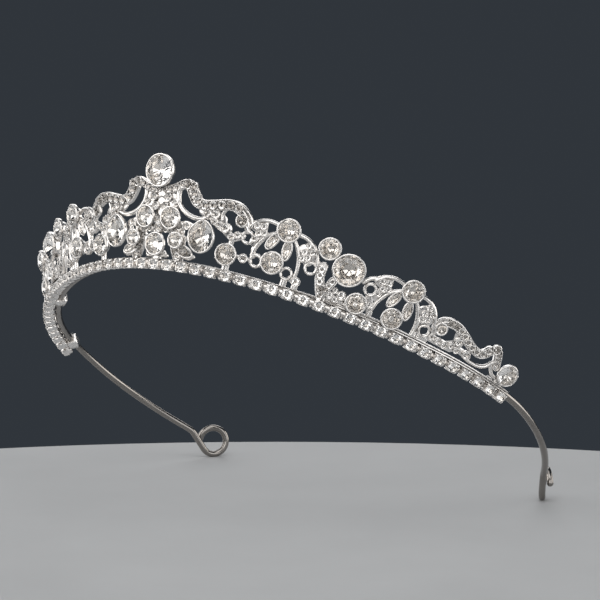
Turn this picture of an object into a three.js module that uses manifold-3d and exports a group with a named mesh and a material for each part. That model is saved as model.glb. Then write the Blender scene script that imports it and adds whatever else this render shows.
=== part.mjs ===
// Bridal tiara. A springy headband wire, ended by two pin loops, carries a strip of square stone cups and a
// base rail. Eleven openwork castings stand on the rail and hold the larger stones, each its own solid.
//
// The ornament is drawn flat, in stations along the band (1 station = 1 cup pitch) and rows up the ornament,
// joined flat, and then bent round the head with the outward lean that such castings are soldered at.
// Frame: +Z up as worn, -Y the front, origin at the centre of the head opening.

import * as THREE from "three";
import { mergeVertices } from "three/addons/utils/BufferGeometryUtils.js";
import { ConvexGeometry } from "three/addons/geometries/ConvexGeometry.js";
import Module from "manifold-3d";

const wasm = await Module();
wasm.setup();

// ---- driving dimensions, in millimetres ----
const PITCH = 4.0; // one station: spacing of the cups along the band
const ROW = 4.5; // one row up the leaning ornament
const CUPS_PER_SIDE = 24;
const LEAN = THREE.MathUtils.degToRad(28); // ornament, outwards from the band's normal
const TILT = THREE.MathUtils.degToRad(37); // band plane, front edge raised as worn
const END_RISE = 2.0; // how far the band climbs from its plane by the last cup
const HEAD_CENTRE = 60; // front of the band to the middle of the head opening
// Bend radius of the band at stations along it: round at the front, flatter at the temples.
const BEND = [
  [0, 56],
  [24, 68],
  [48, 102],
  [72, 69],
  [96, 57],
  [124, 74],
  [170, 120],
];

const PLATE = 1.2; // casting thickness, half either side of the ornament's middle surface
const JOINT_GAP = 0.28; // solder line between neighbouring pieces
const CUP_SIZE = 2.7; // cup along the band, outside
const CUP_HEIGHT = 2.4;
const CUP_DEPTH = 2.6;
const CUP_WELL = 1.9; // square well that seats the chain stone
const WELL_DEPTH = 0.8;
const LINK_HEIGHT = 1.3; // connector block between two cups, flush with their backs
const LINK_DEPTH = 0.6; // at the back of the cups
const LINK_ROOT = 0.1; // how far a connector block runs into its cups
const RAIL_LOW = CUP_HEIGHT / 2 + JOINT_GAP;
const RAIL_HEIGHT = 0.5;
const FOOT_LINE = RAIL_LOW + RAIL_HEIGHT + JOINT_GAP; // castings stand on this line
const RAIL_OVERHANG = 0.35; // stations past the last cup
const LIFT = 0.6; // cups and rail climb towards the castings by this much at the last cup
const LIFT_START = 18; // station where that climb starts

const WIRE_RADIUS = 0.9;
const WIRE_SIDES = 6;
const WIRE_STEPS = 128;
const WIRE_ROW = 0.25; // height of the wire up the ornament's back, hidden by the cups
const ARM_ROW = 2.0; // and on the bare arms
const ARM_RISE = [70, 110]; // where it passes from one height to the other
const ARM_SINK = 2.6; // how far the arm's end hangs down again
const SINK_START = 98; // and where that starts, past the last cup
const WIRE_BACK = -(CUP_DEPTH / 2 + JOINT_GAP + WIRE_RADIUS);
const ARM_END = 147.5; // where the arm kinks down towards its loop
const LOOP_DROP = THREE.MathUtils.degToRad(27); // of the short straight between kink and loop
const LOOP_SHANK = 6.4; // length of that straight
const LOOP_RADIUS = 3.7; // centre line of the pin loop
const LOOP_TURN = THREE.MathUtils.degToRad(318);
const LOOP_SPREAD = 2.1; // the tip passes outside the shank

const BEZEL = 0.5; // wall of a stone's cup
const SEAT_GAP = 0.2; // stone to cup
const FLOOR = 0.5; // metal under a stone
const PAVILION = 0.6; // stone depth below the girdle, as a share of its half width
const CROWN = 0.36;
const TABLE = 0.56; // table width over stone width
const GIRDLE = 0.04; // half the girdle's thickness, as a share of the stone's half width
const CULET = 0.12; // small flat at the stone's point, as a share of its width
const BEZEL_LIP = 0.1; // how far a cup stands over the girdle, as a share of the half width
const ROUND_SIDES = 8; // facets round a round stone, its cup and the eyelets
const WELD = 1e-4; // points closer than this are one

// ---- the band's curve ----
const STEP = 0.5;
const LAST = 170;

function bendRadius(u) {
  for (let i = 1; i < BEND.length; i++) {
    const [u0, r0] = BEND[i - 1];
    const [u1, r1] = BEND[i];
    if (u <= u1) return 1 / THREE.MathUtils.lerp(1 / r0, 1 / r1, (u - u0) / (u1 - u0));
  }
  return BEND[BEND.length - 1][1];
}

const track = [{ x: 0, y: 0, heading: 0 }];
for (let u = 0; u < LAST; u += STEP) {
  const { x, y, heading } = track[track.length - 1];
  const middle = heading + STEP / 2 / bendRadius(u + STEP / 2);
  track.push({
    x: x + STEP * Math.cos(middle),
    y: y + STEP * Math.sin(middle),
    heading: heading + STEP / bendRadius(u + STEP / 2),
  });
}

// Place and heading on the band, u millimetres from the front, negative to the wearer's right.
function onTrack(u) {
  const side = u < 0 ? -1 : 1;
  const at = Math.min(Math.abs(u) / STEP, track.length - 1.001);
  const [a, b] = [track[Math.floor(at)], track[Math.floor(at) + 1]];
  const share = at - Math.floor(at);
  const mix = (key) => THREE.MathUtils.lerp(a[key], b[key], share);
  return { x: side * mix("x"), y: mix("y"), heading: side * mix("heading") };
}

// How much wider the leaning ornament gets at height v.
const stretch = (u, v) => 1 + (Math.sin(LEAN) * v) / bendRadius(Math.abs(u));

const tilt = new THREE.Matrix4()
  .makeRotationX(-TILT)
  .multiply(new THREE.Matrix4().makeTranslation(0, -HEAD_CENTRE, 0));

// Axes of the ornament's surface at u: along the band, up the ornament, and out of its face.
function axesAt(u) {
  const { heading } = onTrack(u);
  const along = new THREE.Vector3(Math.cos(heading), Math.sin(heading), 0);
  const out = new THREE.Vector3(Math.sin(heading), -Math.cos(heading), 0);
  const up = out.clone().multiplyScalar(Math.sin(LEAN)).setZ(Math.cos(LEAN));
  return { along, up, face: new THREE.Vector3().crossVectors(along, up) };
}

// The point u along the band, v up the ornament and w out of its face.
function bent(u, v, w) {
  const { x, y } = onTrack(u);
  const { up, face } = axesAt(u);
  const rise = END_RISE * (u / (CUPS_PER_SIDE * PITCH)) ** 2;
  return new THREE.Vector3(x, y, rise).addScaledVector(up, v).addScaledVector(face, w).applyMatrix4(tilt);
}

// The height of the cups and rail on the drawing, where it differs from their straight line.
function lift(u) {
  const reach = (Math.abs(u) / PITCH - LIFT_START) / (CUPS_PER_SIDE - LIFT_START);
  return LIFT * Math.max(0, reach);
}

const bentStrip = (u, v, w) => bent(u, v + lift(u), w);

function wireRow(u) {
  const distance = Math.abs(u);
  const risen = THREE.MathUtils.smoothstep(distance, ...ARM_RISE);
  const sunk = Math.max(0, (distance - SINK_START) / (ARM_END - SINK_START)) ** 1.5;
  return THREE.MathUtils.lerp(WIRE_ROW, ARM_ROW, risen) - ARM_SINK * sunk;
}

// ---- solids ----
function toSolid(geometry) {
  const bare = geometry.clone();
  bare.deleteAttribute("normal");
  bare.deleteAttribute("uv");
  const merged = mergeVertices(bare, WELD);
  return new wasm.Manifold(
    new wasm.Mesh({
      numProp: 3,
      vertProperties: merged.attributes.position.array,
      triVerts: new Uint32Array(merged.index.array),
    }),
  );
}

function toGeometry(solid, place, mirrored = false) {
  const mesh = solid.getMesh();
  const position = new Float32Array(mesh.numVert * 3);
  for (let i = 0; i < mesh.numVert; i++) {
    const [u, v, w] = mesh.vertProperties.subarray(i * mesh.numProp, i * mesh.numProp + 3);
    place(mirrored ? -u : u, v, w).toArray(position, i * 3);
  }
  const index = Array.from(mesh.triVerts);
  if (mirrored) index.reverse();
  const geometry = new THREE.BufferGeometry();
  geometry.setAttribute("position", new THREE.BufferAttribute(position, 3));
  geometry.setIndex(index);
  geometry.computeVertexNormals();
  return geometry;
}

const join = (solids) => solids.reduce((whole, next) => whole.add(next));

function largestBody(solid) {
  return solid.decompose().reduce((a, b) => (a.volume() >= b.volume() ? a : b));
}

const mirrorFlat = (solid) => toSolid(toGeometry(solid, (u, v, w) => new THREE.Vector3(u, v, w), true));

// The flat drawing: a slab between two depths, cut to a closed outline of [u, v] points.
function slab(outline, low, high) {
  const shape = new THREE.Shape(outline.map(([u, v]) => new THREE.Vector2(u, v)));
  const geometry = new THREE.ExtrudeGeometry(shape, { depth: high - low, bevelEnabled: false });
  return toSolid(geometry.translate(0, 0, low));
}

function box(u0, u1, v0, v1, w0, w1) {
  const geometry = new THREE.BoxGeometry(u1 - u0, v1 - v0, w1 - w0);
  return toSolid(geometry.translate((u0 + u1) / 2, (v0 + v1) / 2, (w0 + w1) / 2));
}

// A strip of the given width along a smooth line through [station, row] points.
function ribbon(points, width, low = -PLATE / 2, high = PLATE / 2) {
  const line = points.map(([s, h]) => new THREE.Vector2(s * PITCH, h * ROW));
  const curve = new THREE.SplineCurve(line);
  const steps = points.length > 2 ? (points.length - 1) * 2 : 1;
  const left = [];
  const right = [];
  for (let i = 0; i <= steps; i++) {
    const at = curve.getPoint(i / steps);
    const along = curve.getTangent(i / steps);
    left.push([at.x - (along.y * width) / 2, at.y + (along.x * width) / 2]);
    right.unshift([at.x + (along.y * width) / 2, at.y - (along.x * width) / 2]);
  }
  return slab([...right.reverse(), ...left.reverse()], low, high);
}

function roundOutline(radius, sides) {
  return Array.from({ length: sides }, (_, i) => {
    const turn = ((i + 0.5) / sides) * 2 * Math.PI;
    return [radius * Math.cos(turn), radius * Math.sin(turn)];
  });
}

// A pointed oval, its points up and down; a higher sharpness draws its sides in towards the points.
function marquiseOutline(length, width, sides = 8, sharpness = 1.35) {
  return Array.from({ length: sides }, (_, i) => {
    const turn = (i / sides) * 2 * Math.PI;
    const round = Math.abs(Math.sin(turn)) ** sharpness;
    return [(width / 2) * round * Math.sign(Math.sin(turn)), (length / 2) * Math.cos(turn)].map((c) => -c);
  });
}

// A drop, its point up and drawn in by the given share.
function pearOutline(length, width, sides = 10, drawnIn = 0.42) {
  return Array.from({ length: sides }, (_, i) => {
    const turn = (i / sides) * 2 * Math.PI;
    const taper = Math.cos(turn) > 0 ? 1 - drawnIn * Math.cos(turn) ** 2 : 1;
    return [(-width / 2) * Math.sin(turn) * taper, (length / 2) * Math.cos(turn)];
  });
}

// Puts an outline drawn about its own centre on the flat drawing, narrowed so that it bends to true width.
function placed(outline, s, h, angle = 0) {
  const u = s * PITCH;
  const v = h * ROW;
  const turn = THREE.MathUtils.degToRad(angle);
  return outline.map(([a, b]) => [
    u + (a * Math.cos(turn) - b * Math.sin(turn)) / stretch(u, v),
    v + a * Math.sin(turn) + b * Math.cos(turn),
  ]);
}

const grown = (outline, by) =>
  outline.map(([a, b]) => {
    const share = 1 + by / Math.hypot(a, b);
    return [a * share, b * share];
  });

function disc(s, h, radius, high = PLATE / 2) {
  return slab(placed(roundOutline(radius, ROUND_SIDES), s, h), -PLATE / 2, high);
}

function ring(s, h, outer, hole) {
  const bore = slab(placed(roundOutline(hole, ROUND_SIDES), s, h), -PLATE, PLATE);
  return disc(s, h, outer).subtract(bore);
}

// ---- stones and their cups ----
const half = (gem) => (gem.width ?? 2 * gem.radius) / 2;
const floorHeight = (gem) => FLOOR - PLATE / 2 + (gem.raise ?? 0);
const girdleHeight = (gem) => floorHeight(gem) + SEAT_GAP + PAVILION * half(gem);

function gemOutline(gem) {
  if (gem.cut === "pear") return pearOutline(gem.length, gem.width);
  if (gem.cut === "marquise") return marquiseOutline(gem.length, gem.width);
  return roundOutline(gem.radius, ROUND_SIDES);
}

// A foil-backed stone: flat table, sloping crown, thin girdle and pointed pavilion.
function stone(gem) {
  const outline = gemOutline(gem);
  const girdle = girdleHeight(gem);
  const at = (share, w) =>
    placed(outline.map(([a, b]) => [a * share, b * share]), gem.s, gem.h, gem.angle).map(
      ([u, v]) => new THREE.Vector3(u, v, w),
    );
  return toSolid(
    new ConvexGeometry([
      ...at(TABLE, girdle + CROWN * half(gem)),
      ...at(1, girdle + GIRDLE * half(gem)),
      ...at(1, girdle - GIRDLE * half(gem)),
      ...at(CULET, girdle - PAVILION * half(gem)),
    ]),
  );
}

const cupOuter = (gem) =>
  slab(
    placed(grown(gemOutline(gem), SEAT_GAP + BEZEL), gem.s, gem.h, gem.angle),
    -PLATE / 2,
    girdleHeight(gem) + BEZEL_LIP * half(gem),
  );

const cupWell = (gem) =>
  slab(
    placed(grown(gemOutline(gem), SEAT_GAP), gem.s, gem.h, gem.angle),
    floorHeight(gem),
    girdleHeight(gem) + half(gem),
  );

// Right-hand half of the stones; angle turns a long stone anticlockwise, in degrees, and raise lifts a stone
// out of the face on a taller cup.
const leaf = (name, s, h, length, width, angle) => ({ name, s, h, cut: "marquise", length, width, angle });

const centreGems = [
  { name: "top_stone", s: 0, h: 5.1, radius: 3.45 },
  { name: "lower_centre_stone", s: 0, h: 1.1, radius: 2.2 },
];
const crestGems = [
  { name: "crest_round_stone", s: 0.88, h: 2.58, radius: 2.15 },
  { name: "leg_stone", s: 1.52, h: 1.4, radius: 1.35, raise: 1.3 },
  leaf("foot_stone", 1.94, 0.86, 5.0, 2.0, 72),
];
const armGems = [
  { name: "pear_stone", s: 3.1, h: 1.82, cut: "pear", length: 7.1, width: 5.9, angle: 0 },
  { name: "low_round_stone", s: 4.75, h: 1.14, radius: 2.05 },
  { name: "curl_stone", s: 5.22, h: 3.1, radius: 0.95 },
];
const innerFanGems = [
  { name: "inner_fan_top_stone", s: 7.95, h: 3.28, radius: 2.25 },
  leaf("inner_fan_left_leaf_stone", 7.22, 2.5, 4.4, 1.6, -28),
  leaf("inner_fan_right_leaf_stone", 8.15, 2.22, 4.4, 1.6, 3),
  { name: "inner_fan_low_stone", s: 7.55, h: 1.36, radius: 2.1 },
];
const middleGems = [
  { name: "middle_small_stone", s: 10.42, h: 3.07, radius: 2.05 },
  { name: "middle_big_stone", s: 11.85, h: 2.36, radius: 3.3 },
  { name: "middle_low_stone", s: 12.95, h: 0.84, radius: 1.9 },
];
const outerFanGems = [
  { name: "outer_fan_top_stone", s: 15.65, h: 2.66, radius: 2.15 },
  leaf("outer_fan_left_leaf_stone", 14.88, 1.86, 4.2, 1.6, -20),
  leaf("outer_fan_right_leaf_stone", 15.88, 1.58, 4.2, 1.6, 8),
  { name: "outer_fan_low_stone", s: 15.22, h: 0.84, radius: 1.95 },
];
const endGems = [
  { name: "end_curl_stone", s: 18.15, h: 1.52, radius: 0.95 },
  { name: "end_stone", s: 23.35, h: 1.28, radius: 2.15 },
];

// ---- castings: solids of the right-hand half, before the cups are added ----
const HOLE = 1.0; // the small open eyelets
const EYE = 1.8;
const SMALL_EYE = 1.7;

const crestShoulder = [
  ribbon([[-0.05, 4.05], [0.7, 4.15], [1.2, 4.35], [1.5, 4.42]], 2.0),
  ribbon([[0.2, 4.0], [0.6, 3.6], [0.85, 3.1]], 2.6),
  ribbon([[1.1, 4.2], [0.98, 3.7], [0.9, 3.2]], 1.1),
  ribbon([[1.0, 2.2], [1.3, 1.95], [1.5, 1.6]], 1.8),
  ribbon([[1.35, 2.05], [1.7, 2.2], [1.95, 2.15]], 1.6),
  ribbon([[1.5, 1.5], [1.6, 1.0], [1.7, 0.45]], 2.0),
];
const crestMiddle = [
  ribbon([[0, 4.5], [0, 3.0]], 2.4),
  ribbon([[0, 2.7], [0, 1.4]], 2.2),
  ribbon([[-0.5, 1.98], [0.5, 1.98]], 1.8),
  ribbon([[-0.95, 2.6], [0.95, 2.6]], 1.2),
  ribbon([[0, 0.9], [0, 0.45]], 3.6),
];
const armLines = [
  disc(1.82, 4.4, 1.35),
  ribbon(
    [
      [1.85, 4.4], [2.08, 4.02], [2.4, 3.62], [2.85, 3.48], [3.5, 3.56], [4.35, 3.76], [5.0, 3.62],
      [5.5, 3.15],
    ],
    2.3,
  ),
  ribbon([[1.42, 3.95], [1.45, 3.55], [1.68, 3.12], [2.15, 2.86], [2.75, 2.76], [3.3, 2.76]], 1.0),
  ribbon([[3.1, 3.3], [3.5, 2.95], [3.9, 2.62], [4.35, 2.5]], 2.7),
  ribbon([[4.2, 2.5], [4.6, 2.3], [4.95, 2.12], [5.35, 2.3]], 1.9),
  ring(5.74, 2.3, EYE, HOLE),
  ribbon([[5.35, 3.1], [5.5, 2.8], [5.62, 2.65]], 1.4),
  ribbon([[4.8, 1.3], [4.86, 2.1]], 1.4),
  ribbon([[4.8, 0.45], [4.8, 0.9]], 2.2),
  ribbon([[5.1, 1.16], [5.95, 1.16]], 1.9),
];
const fanLines = (top, row) => [
  ribbon(
    [
      [top - 2.1, row - 0.22], [top - 1.7, row + 0.04], [top - 1.1, row + 0.14],
      [top - 0.4, row + 0.05],
    ],
    1.1,
  ),
  ribbon([[top - 1.75, row], [top - 1.62, row - 0.4], [top - 1.72, row - 0.85]], 2.1),
  ribbon(
    [
      [top - 0.6, row - 0.2], [top - 1.1, row - 0.5], [top - 1.5, row - 0.98],
      [top - 1.72, row - 1.75],
    ],
    1.1,
  ),
  ribbon(
    [
      [top + 0.45, row - 0.25], [top + 0.8, row - 0.78], [top + 1.0, row - 1.35],
      [top + 1.1, row - 2.0],
    ],
    1.0,
  ),
  ribbon(
    [
      [top + 0.4, row - 0.1], [top + 1.1, row - 0.15], [top + 1.7, row - 0.5],
      [top + 2.05, row - 1.1],
    ],
    1.1,
  ),
  ribbon([[top + 1.35, row - 0.35], [top + 1.4, row - 0.9], [top + 1.3, row - 1.4]], 2.0),
  ring(top + 1.8, row - 1.56, EYE, HOLE),
];
const innerFanLines = [
  ...fanLines(7.95, 3.28),
  ring(6.55, 1.2, EYE, HOLE),
  ring(8.5, 1.02, SMALL_EYE, HOLE),
  ribbon([[6.2, 1.75], [6.3, 1.3]], 1.1),
  ribbon([[8.85, 0.85], [9.15, 0.75]], 1.6),
  disc(9.2, 0.78, 1.35),
];
const middleLines = [
  ribbon([[10.8, 2.85], [11.2, 2.6]], 1.8),
  ribbon([[10.42, 1.95], [10.46, 1.5], [10.68, 1.05], [10.95, 0.7]], 2.1),
  ribbon([[11.45, 1.75], [11.15, 1.25], [10.95, 0.7]], 2.2),
  ribbon([[10.75, 0.66], [12.9, 0.66]], 1.4),
  disc(11.55, 0.95, 1.3),
  disc(12.12, 1.0, 1.3),
];
const outerFanLines = [
  ...fanLines(15.65, 2.7).slice(0, -1),
  ring(13.42, 1.82, EYE, HOLE),
  ribbon([[13.1, 2.15], [13.35, 2.45], [13.7, 2.6]], 1.1),
  ribbon([[13.5, 1.45], [13.7, 1.05], [13.9, 0.6]], 1.2),
  ribbon([[13.92, 1.1], [13.9, 0.45]], 1.2),
  ring(17.3, 1.02, SMALL_EYE, HOLE),
  ribbon([[16.75, 1.2], [16.78, 0.45]], 1.6),
  ribbon([[15.2, 0.9], [15.2, 0.45]], 2.4),
];
const endLines = [
  ribbon(
    [
      [17.85, 0.75], [17.72, 1.3], [17.86, 1.8], [18.35, 2.12], [18.95, 2.1], [19.6, 1.8], [20.4, 1.42],
      [21.0, 1.38], [21.38, 1.66], [21.62, 2.06], [21.92, 2.12], [22.22, 1.8], [22.4, 1.4], [22.85, 1.25],
    ],
    2.0,
  ),
  ribbon([[19.5, 1.75], [19.48, 1.3], [19.15, 0.95], [18.5, 0.8], [17.9, 0.8]], 2.0),
  ribbon([[19.6, 1.15], [20.1, 1.05], [20.4, 0.92]], 1.5),
  ribbon([[20.2, 0.95], [20.8, 0.78], [21.4, 0.8], [21.9, 1.02], [22.2, 1.5]], 1.0),
  ribbon([[22.2, 1.1], [22.6, 0.8], [23.0, 0.74]], 1.1),
  ribbon([[23.35, 0.58], [23.35, 0.9]], 3.2),
];

// Lines and cups joined, wells cut, and everything under the foot line taken off.
function casting(lines, gems, foot = FOOT_LINE) {
  const whole = join([...lines, ...gems.map(cupOuter)]);
  const open = gems.map(cupWell).reduce((solid, well) => solid.subtract(well), whole);
  return largestBody(open.trimByPlane([0, 1, 0], foot));
}

// Takes a neighbour, and the solder line round it, out of a piece.
function clearOf(piece, neighbour) {
  const shifts = roundOutline(JOINT_GAP, ROUND_SIDES);
  return largestBody(shifts.reduce((solid, [u, v]) => solid.subtract(neighbour.translate([u, v, 0])), piece));
}

const crestHalf = join([...crestShoulder, ...crestGems.map(cupOuter)]);
const crest = casting([crestHalf, mirrorFlat(crestHalf), ...crestMiddle], centreGems);
const crestWells = join(crestGems.map(cupWell));
const centreCrest = crest.subtract(crestWells).subtract(mirrorFlat(crestWells));
const scrollArm = clearOf(casting(armLines, armGems), centreCrest);
const innerFan = clearOf(casting(innerFanLines, innerFanGems), scrollArm);
const middleCluster = clearOf(casting(middleLines, middleGems), innerFan);
const outerFan = clearOf(casting(outerFanLines, outerFanGems), middleCluster);
const endScroll = clearOf(casting(endLines, endGems, FOOT_LINE + LIFT), outerFan);

// ---- cup strip, rail, tabs and wire ----
function cupStrip() {
  const reach = CUP_SIZE / 2;
  const rise = CUP_HEIGHT / 2;
  const solids = [];
  for (let cup = -CUPS_PER_SIDE; cup <= CUPS_PER_SIDE; cup++) {
    const u = cup * PITCH;
    const body = box(u - reach, u + reach, -rise, rise, -CUP_DEPTH / 2, CUP_DEPTH / 2);
    const well = CUP_WELL / 2;
    solids.push(
      body.subtract(box(u - well, u + well, -well, well, CUP_DEPTH / 2 - WELL_DEPTH, CUP_DEPTH)),
    );
    if (cup < CUPS_PER_SIDE) {
      const link = [u + reach - LINK_ROOT, u + PITCH - reach + LINK_ROOT];
      const depth = [-CUP_DEPTH / 2, LINK_DEPTH - CUP_DEPTH / 2];
      solids.push(box(...link, -LINK_HEIGHT / 2, LINK_HEIGHT / 2, ...depth));
    }
  }
  return join(solids);
}

function baseRail() {
  const length = 2 * (CUPS_PER_SIDE + RAIL_OVERHANG) * PITCH;
  const bar = new THREE.BoxGeometry(length, RAIL_HEIGHT, PLATE, 2 * CUPS_PER_SIDE, 1, 1);
  return toSolid(bar.translate(0, RAIL_LOW + RAIL_HEIGHT / 2, 0));
}

// A channel that hooks over the wire from behind; its back is a small flat pad.
const TAB_LENGTH = 3.2;
const TAB_WALL = 0.4;
const TAB_ROOM = 0.25;
const TAB_FRONT = -(CUP_DEPTH / 2 + JOINT_GAP);
const TAB_BACK = WIRE_BACK - WIRE_RADIUS - TAB_ROOM - TAB_WALL;

function crimpTab(row) {
  const inner = WIRE_RADIUS + TAB_ROOM;
  const outer = inner + TAB_WALL;
  const end = TAB_LENGTH / 2;
  const body = box(-end, end, row - outer, row + outer, TAB_BACK, TAB_FRONT);
  return body.subtract(box(-2 * end, 2 * end, row - inner, row + inner, TAB_BACK + TAB_WALL, 0));
}

// Sets a piece at u without bending it.
function rigid(u) {
  const { along, up, face } = axesAt(u);
  const origin = bent(u, 0, 0);
  const basis = new THREE.Matrix4().makeBasis(along, up, face);
  const turn = new THREE.Matrix4().extractRotation(tilt).multiply(basis);
  return (a, v, w) => new THREE.Vector3(a, v, w).applyMatrix4(turn).add(origin);
}

// The wire's centre line. Each arm ends in a kink, a short straight shank and a pin loop in an upright plane.
class WirePath extends THREE.Curve {
  constructor() {
    super();
    this.sideLength = ARM_END + LOOP_SHANK + LOOP_RADIUS * LOOP_TURN;
    this.kink = bent(ARM_END, wireRow(ARM_END), WIRE_BACK);
    const along = this.kink.clone().sub(bent(ARM_END - 1, wireRow(ARM_END - 1), WIRE_BACK)).normalize();
    this.out = new THREE.Vector3().crossVectors(along, new THREE.Vector3(0, 0, 1)).normalize();
    this.shankWay = along.clone().applyAxisAngle(this.out, -LOOP_DROP);
    this.inward = new THREE.Vector3().crossVectors(this.out, this.shankWay);
  }

  // The point at a distance from the front, on the wearer's left.
  sidePoint(distance) {
    if (distance <= ARM_END) return bent(distance, wireRow(distance), WIRE_BACK);
    const shank = Math.min(distance - ARM_END, LOOP_SHANK);
    const turn = (distance - ARM_END - shank) / LOOP_RADIUS;
    return this.kink
      .clone()
      .addScaledVector(this.shankWay, shank + LOOP_RADIUS * Math.sin(turn))
      .addScaledVector(this.inward, LOOP_RADIUS * (1 - Math.cos(turn)))
      .addScaledVector(this.out, (LOOP_SPREAD * turn) / LOOP_TURN);
  }

  getPoint(t) {
    const distance = (2 * t - 1) * this.sideLength;
    const point = this.sidePoint(Math.abs(distance));
    if (distance < 0) point.x = -point.x;
    return point;
  }
}

function headbandWire() {
  const outline = roundOutline(WIRE_RADIUS, WIRE_SIDES).map(([a, b]) => new THREE.Vector2(a, b));
  return new THREE.ExtrudeGeometry(new THREE.Shape(outline), {
    steps: WIRE_STEPS,
    bevelEnabled: false,
    extrudePath: new WirePath(),
  });
}

// ---- materials ----
const metal = (color, roughness) => () => new THREE.MeshStandardMaterial({ color, roughness, metalness: 1 });
const plated = metal(0xe6e7ea, 0.2);
const steel = metal(0xa9aaac, 0.3);
const crystal = () => new THREE.MeshStandardMaterial({ color: 0xeef1f5, roughness: 0.05, metalness: 0 });

// ---- assembly ----
const group = new THREE.Group();

function addNode(name, geometry, material) {
  const mesh = new THREE.Mesh(geometry, material());
  mesh.name = name;
  group.add(mesh);
}

function addPair(name, solid, material) {
  addNode(name + "_left", toGeometry(solid, bent), material);
  addNode(name + "_right", toGeometry(solid, bent, true), material);
}

addNode("headband_wire", headbandWire(), steel);
addNode("cup_strip", toGeometry(cupStrip(), bentStrip), plated);
addNode("base_rail", toGeometry(baseRail(), bentStrip), plated);
for (const [name, station] of [["front_tab", 15], ["end_tab", 23.4]]) {
  const tab = crimpTab(wireRow(station * PITCH));
  addNode(name + "_left", toGeometry(tab, rigid(station * PITCH)), plated);
  addNode(name + "_right", toGeometry(tab, rigid(-station * PITCH)), plated);
}

addNode("centre_crest", toGeometry(centreCrest, bent), plated);
addPair("scroll_arm", scrollArm, plated);
addPair("inner_fan", innerFan, plated);
addPair("middle_cluster", middleCluster, plated);
addPair("outer_fan", outerFan, plated);
addPair("end_scroll", endScroll, plated);

for (const gem of centreGems) addNode(gem.name, toGeometry(stone(gem), bent), crystal);
for (const gem of [crestGems, armGems, innerFanGems, middleGems, outerFanGems, endGems].flat()) {
  addPair(gem.name, stone(gem), crystal);
}

export default group;
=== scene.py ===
import math

import bmesh
import bpy
import numpy as np
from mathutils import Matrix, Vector


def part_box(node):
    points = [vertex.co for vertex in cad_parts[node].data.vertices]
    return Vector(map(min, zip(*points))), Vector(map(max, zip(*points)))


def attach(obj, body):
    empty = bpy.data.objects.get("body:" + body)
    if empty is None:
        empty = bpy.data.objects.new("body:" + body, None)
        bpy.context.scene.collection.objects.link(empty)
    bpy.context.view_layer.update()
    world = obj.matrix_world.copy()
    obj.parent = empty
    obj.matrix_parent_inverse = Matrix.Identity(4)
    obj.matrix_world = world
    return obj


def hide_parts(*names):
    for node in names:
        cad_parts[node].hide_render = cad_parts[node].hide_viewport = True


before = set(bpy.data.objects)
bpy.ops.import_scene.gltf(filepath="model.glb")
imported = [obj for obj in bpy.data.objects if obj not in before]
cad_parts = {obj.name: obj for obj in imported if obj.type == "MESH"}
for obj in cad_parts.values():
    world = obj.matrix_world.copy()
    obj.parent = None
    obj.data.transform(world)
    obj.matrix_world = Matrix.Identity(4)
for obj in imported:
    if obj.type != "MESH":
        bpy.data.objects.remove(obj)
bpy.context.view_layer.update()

# A bridal tiara. The ornament is drawn flat, in millimetres: u along the band, v up the leaning ornament and
# w out of its face. bend() then wraps it round the head, as the CAD part does. Stones take their place, size
# and facing from the CAD stones; the lines of the castings are the CAD part's lines, drawn with more detail.

MM = 0.001

# ---- driving dimensions shared with the CAD part, in millimetres ----
PITCH = 4.0  # one station: spacing of the cups along the band
ROW = 4.5  # one row up the leaning ornament
CUPS_PER_SIDE = 24
LEAN = math.radians(28)  # ornament, outwards from the band's normal
TILT = math.radians(37)  # band plane, front edge raised as worn
END_RISE = 2.0  # how far the band climbs from its plane by the last cup
HEAD_CENTRE = 60.0  # front of the band to the middle of the head opening
BEND = [(0, 56), (24, 68), (48, 102), (72, 69), (96, 57), (124, 74), (170, 120)]  # distance and radius
PLATE = 1.2  # casting thickness
BACK = -PLATE / 2
FOOT_LINE = 2.26  # castings stand on this line
RAIL_OVERHANG = 0.35  # stations past the last cup
LIFT = 0.6  # cups and rail climb towards the castings by this much at the last cup
LIFT_START = 18  # station where that climb starts
WIRE_RADIUS = 0.9
WIRE_ROW = 0.25  # height of the wire up the ornament's back
ARM_ROW = 2.0  # and on the bare arms
ARM_RISE = (70, 110)  # where it passes from one height to the other
ARM_SINK = 2.6  # how far the arm's end hangs down again
SINK_START = 98  # and where that starts, past the last cup
WIRE_BACK = -2.48  # centre of the wire behind the ornament's middle surface
ARM_END = 147.5  # where the arm kinks down towards its loop
LOOP_DROP = math.radians(27)  # of the short straight between kink and loop
LOOP_SHANK = 6.4  # length of that straight
LOOP_RADIUS = 3.7  # centre line of the pin loop
LOOP_TURN = math.radians(318)
LOOP_SPREAD = 2.1  # the tip passes outside the shank
SEAT_GAP = 0.2  # stone to cup
FLOOR_WALL = 0.5  # metal under a stone
LEG_RAISE = 1.3  # the leg stones stand proud of the face by this much
TABLE = 0.56  # table width over stone width
CROWN = 0.36  # heights over and under the girdle, as a share of a stone's half width
PAVILION = 0.6

# ---- dimensions of the detailed pieces ----
CUP_WIDTH = 2.9  # a cup of the strip: along the band, up, and its middle
CUP_RISE = 2.5
CUP_MIDDLE = -0.04
CUP_BACK = -1.3
CUP_GIRDLE = 1.2  # height and radius of its stone, and where its four claws stand
CUP_STONE = 1.22
CUP_CLAWS = (1.16, 0.98)
CLAW = 0.27  # claw radius
LINK_FRONT = -0.55  # front of the blocks between cups
RAIL_FOOT = 1.28  # the rail's lower edge, its top at the front of the head, and the stations where it grows
RAIL_NARROW = 1.42
RAIL_GROWTH = (7, 14)
RAIL_FRONT = 0.8  # what is further out than this stands in front of the rail
SOLDER = 0.06  # gap between the rail and the castings' feet
SLEEVE = 3.1  # crimp sleeves: width, length, rounding, and (CAD node, station)
SLEEVE_LENGTH = 3.2
SLEEVE_EDGE = 0.15
SLEEVES = (("front_tab", 15), ("end_tab", 23.4))
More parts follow.
